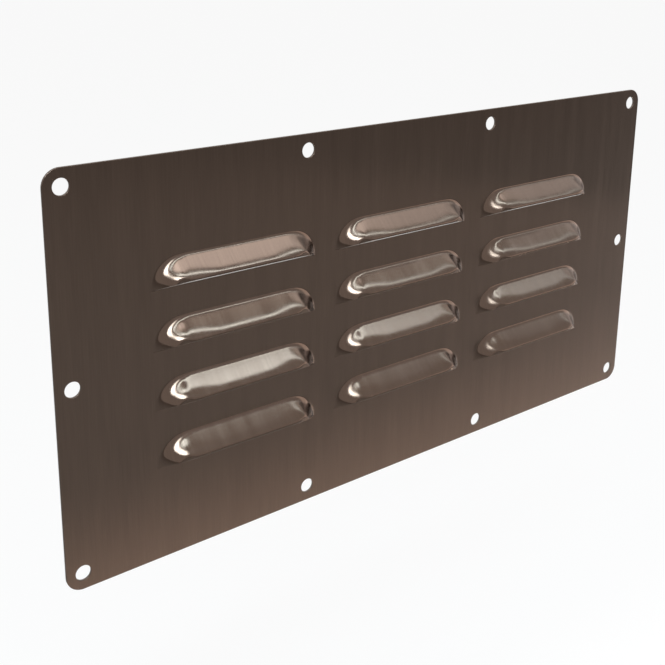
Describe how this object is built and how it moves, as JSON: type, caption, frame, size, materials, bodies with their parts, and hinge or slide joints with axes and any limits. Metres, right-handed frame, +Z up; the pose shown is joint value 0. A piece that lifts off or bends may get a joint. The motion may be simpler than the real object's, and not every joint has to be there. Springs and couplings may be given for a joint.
{
  "type": "louvred ventilation grille",
  "caption": "Flat rectangular vent cover pressed from one sheet of metal, with rows of downward-opening hooded louvres and plain screw holes round its edge.",
  "frame": {"origin": "middle of the flat back face that goes against the wall", "axes": "+Y into the wall, so the hoods stand out towards -Y; +X to the right seen from the front, along the long side; +Z up, with the louvre mouths facing down"},
  "size_m": [0.3048, 0.0081, 0.1524],
  "materials": {
    "brushed_sheet": "fine upright brushing, dark warm tone"
  },
  "bodies": {
    "root": {"louvre_panel": "brushed_sheet"}
  },
  "joints": []
}
